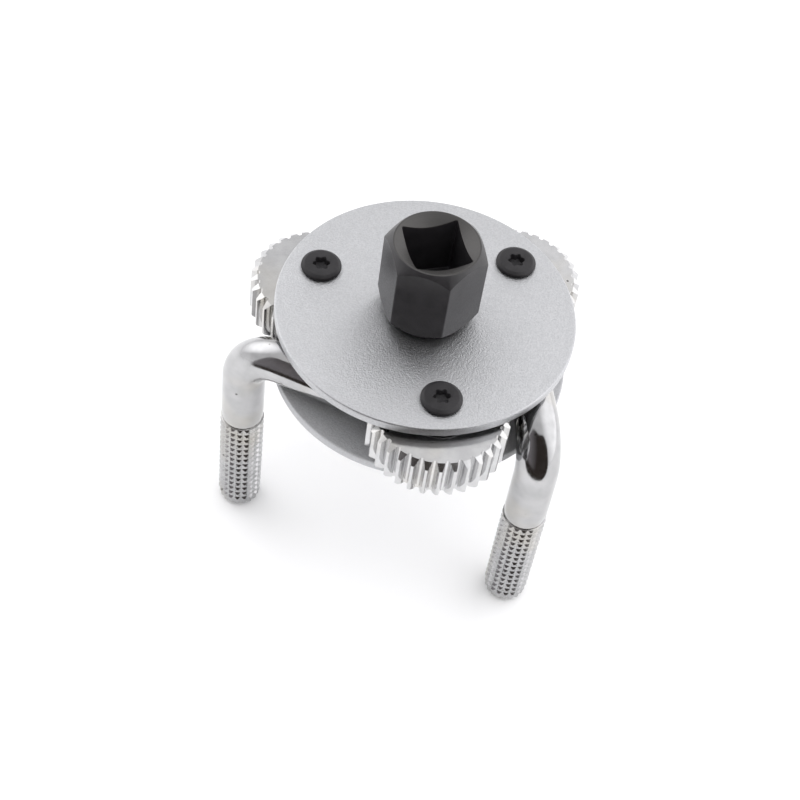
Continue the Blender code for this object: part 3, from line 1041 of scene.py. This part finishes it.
def make_world():
    """A pale tent, brighter at its back left, at its right and along the horizon."""
    world = bpy.data.worlds.new("studio_tent")
    bpy.context.scene.world = world
    tent = Tree(world)
    direction = tent.nodes.new("ShaderNodeTexCoord").outputs["Generated"]
    strength = tent.remap(tent.axes(direction)["Z"], HORIZON_BAND, (1 + HORIZON_GLOW, 1))
    for azimuth, elevation, full, end, added in GLOWS:
        towards = tent.nodes.new("ShaderNodeVectorMath")
        towards.operation = "DOT_PRODUCT"
        tent.feed(towards.inputs[0], direction)
        tent.feed(towards.inputs[1], direction_at(azimuth, elevation))
        glow = tent.remap(towards.outputs["Value"], (math.cos(end), math.cos(full)), (0, added))
        strength = tent.calculate("ADD", strength, glow)
    background = tent.nodes["Background"]
    tent.feed(background.inputs["Color"], (*TENT, 1))
    tent.feed(background.inputs["Strength"], strength)


def make_overhead_bank():
    """A soft overhead light for the floor and the matte parts, which isn't mirrored in the metal."""
    lamp = bpy.data.lights.new("overhead_bank", "AREA")
    lamp.shape = "SQUARE"
    lamp.size = BANK_SIDE
    lamp.energy = BANK_POWER
    bank = bpy.data.objects.new("overhead_bank", lamp)
    bpy.context.scene.collection.objects.link(bank)
    bank.location = BANK_PLACE
    bank.rotation_mode = "QUATERNION"
    bank.rotation_quaternion = (Vector((0, 0, MID)) - BANK_PLACE).to_track_quat("-Z", "Y")
    bank.visible_glossy = False


def make_studio():
    floor_height = LEG_TIP - FLOOR_CLEARANCE
    make_floor(floor_height)
    make_flag(floor_height)
    make_world()
    make_overhead_bank()
    bpy.context.scene.view_settings.view_transform = "Standard"


def make_camera():
    camera = bpy.data.cameras.new("camera")
    obj = bpy.data.objects.new("camera", camera)
    bpy.context.scene.collection.objects.link(obj)
    obj.location = CAMERA_PLACE
    look_down = Matrix.Rotation(math.pi / 2 - CAMERA_DOWN, 4, "X")
    heading = Matrix.Rotation(CAMERA_HEADING, 4, "Z")
    roll = Matrix.Rotation(CAMERA_ROLL, 4, "Z")
    obj.rotation_mode = "QUATERNION"
    obj.rotation_quaternion = (heading @ look_down @ roll).to_quaternion()
    camera.sensor_width = SENSOR_WIDTH
    camera.lens = CAMERA_LENS
    camera.clip_start = CLIP_START
    bpy.context.scene.camera = obj


# ---------------------------------------------------------------- assembly


def stand_for(piece, node, body, material):
    paint(piece, material)
    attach(piece, body)
    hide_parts(node)


def place_screw(end, side, material):
    """A top screw on the upper plate, or a bottom screw upside down under the lower one."""
    screw = make_screw(f"{end}_screw_{side}_pan")
    seat = TOP_PLATE[1].z + GAP
    if end == "bottom":
        seat = BOTTOM_PLATE[0].z - GAP
        screw.rotation_euler.x = math.pi
    screw.location = (PIVOTS[side].x, PIVOTS[side].y, seat)
    stand_for(screw, f"{end}_screw_{side}", "housing", material)


def main():
    plate_finish = blasted_plate("blasted_plate", metallic=1.0, rough=(0.32, 0.42))
    lower_plate_finish = blasted_plate("blasted_lower_plate", metallic=0.6, rough=(0.5, 0.6))
    gear_finish = chromed("chromed_gear", shade=0.55, rough=(0.12, 0.22), wave=0.04 * MM)
    arm_finish = chromed("chromed_rod", shade=0.43, rough=(0.08, 0.18), wave=0.08 * MM, knurl_rough=0.12)
    forged_black = black_oxide("black_oxide_forging", rough=(0.30, 0.42), specular=0.6, machined=True)
    screw_black = black_oxide("black_oxide_screws", rough=(0.42, 0.55), specular=0.34)
    steel = turned_steel()

    stand_for(make_head(), "drive_head", "drive", forged_black)
    top = make_plate("top_plate_blank", TOP_PLATE, NECK_HOLE)
    stand_for(top, "top_plate", "housing", plate_finish)
    bottom = make_plate("bottom_plate_blank", BOTTOM_PLATE, JOURNAL_HOLE)
    stand_for(bottom, "bottom_plate", "housing", lower_plate_finish)
    for side in SIDES:
        stand_for(make_jaw_gear(side), f"jaw_gear_{side}", f"jaw_{side}", gear_finish)
        stand_for(make_arm(side), f"jaw_arm_{side}", f"jaw_{side}", arm_finish)
        place_screw("top", side, screw_black)
        place_screw("bottom", side, screw_black)
    for node in frame["nodes"].values():
        if not node.hide_render:
            paint(node, steel)

    make_studio()
    make_camera()


main()
